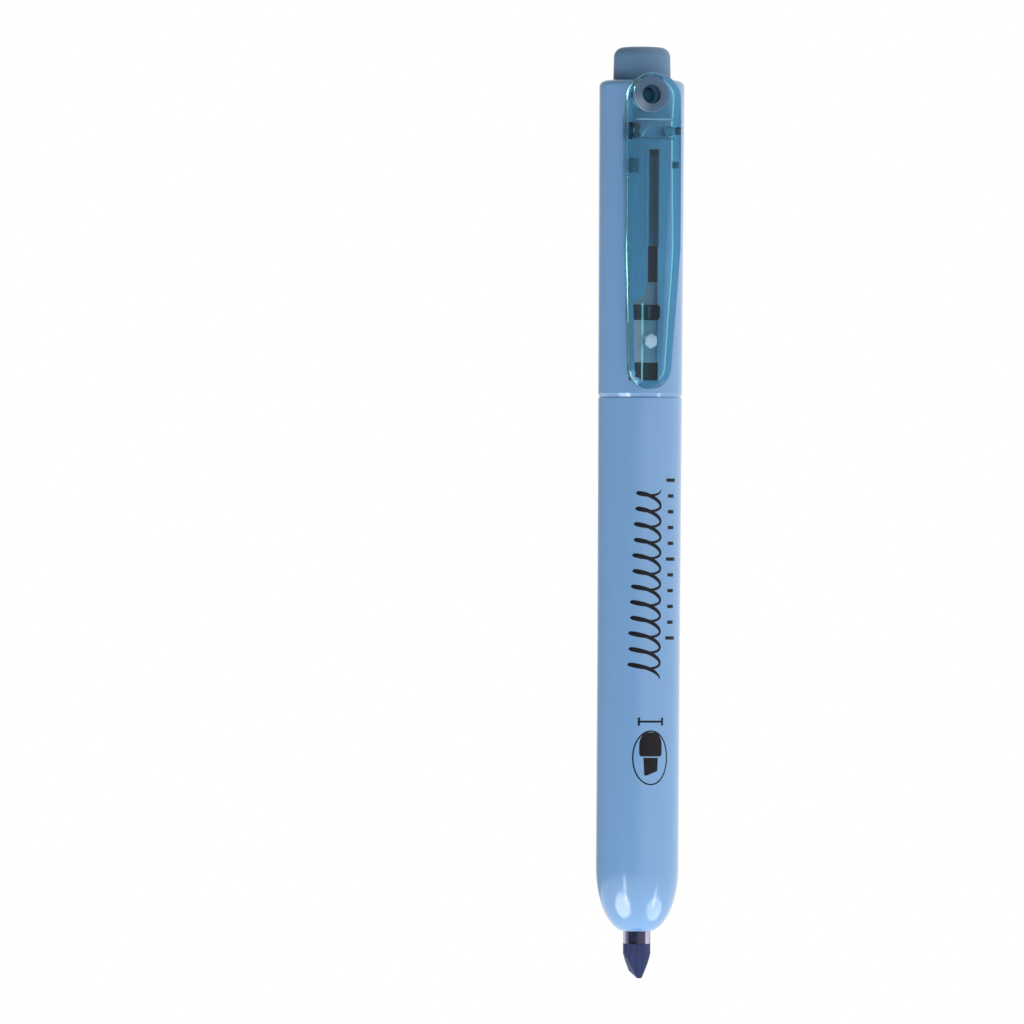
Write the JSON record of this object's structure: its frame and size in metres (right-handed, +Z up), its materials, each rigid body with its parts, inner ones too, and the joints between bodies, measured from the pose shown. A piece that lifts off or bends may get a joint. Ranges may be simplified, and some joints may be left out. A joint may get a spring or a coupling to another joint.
{
  "type": "retractable highlighter",
  "caption": "Round-barrelled retractable highlighter with a chisel nib on a push-button slider, a self-closing nose seal and a sprung, hinged pocket clip.",
  "frame": {"origin": "on the pen's axis, at the plane of the nose's mouth", "axes": "+Z up the axis towards the push button, -Y the way the pocket clip faces, +X to the right seen from the clip's side"},
  "size_m": [0.0128, 0.0163, 0.1397],
  "materials": {
    "barrel_plastic": "gloss moulded, opaque light blue",
    "button_plastic": "satin moulded, grey blue",
    "slider_plastic": "satin moulded, lilac grey",
    "clip_plastic": "gloss, translucent teal",
    "clear_plastic": "gloss, clear",
    "slide_plastic": "natural white acetal",
    "bush_plastic": "dark filled acetal",
    "tube_plastic": "milky white polypropylene",
    "seal_silicone": "translucent grey silicone",
    "damper_rubber": "black rubber",
    "nib_felt": "compressed fibre soaked in dark blue ink",
    "filler_fibre": "polyester fibre soaked in ink",
    "wrap_film": "thin clear film",
    "spring_steel": "drawn spring wire"
  },
  "bodies": {
    "barrel": {"front_barrel": "barrel_plastic", "rear_barrel": "barrel_plastic", "guide_bush": "bush_plastic", "stop_damper": "damper_rubber", "slit_seal": "seal_silicone", "seal_retainer": "slide_plastic", "seal_cartridge": "slide_plastic", "cartridge_o_ring": "damper_rubber", "neck_wiper_ring": "damper_rubber", "spring_seat": "spring_steel", "return_spring": "spring_steel", "clip_spring": "spring_steel"},
    "mechanism": {"nib": "nib_felt", "nib_holder": "clear_plastic", "ink_tube": "tube_plastic", "filler_wrap": "wrap_film", "ink_filler": "filler_fibre", "tube_end_plug": "tube_plastic", "slider": "slider_plastic", "button_cap": "button_plastic"},
    "clip": {"pocket_clip": "clip_plastic"}
  },
  "joints": [
    {"name": "tip_slide", "type": "slide", "parent": "barrel", "child": "mechanism", "axis": [0, 0, 1], "range_m": [0, 0.011], "deforming": ["return_spring"]},
    {"name": "clip_hinge", "type": "hinge", "parent": "barrel", "child": "clip", "pos_m": [0, -0.0076, 0.1197], "axis": [-1, 0, 0], "range_deg": [0, 6], "stiffness_Nm_per_rad": 0.4, "springref_deg": -5.73, "deforming": ["clip_spring"]}
  ]
}
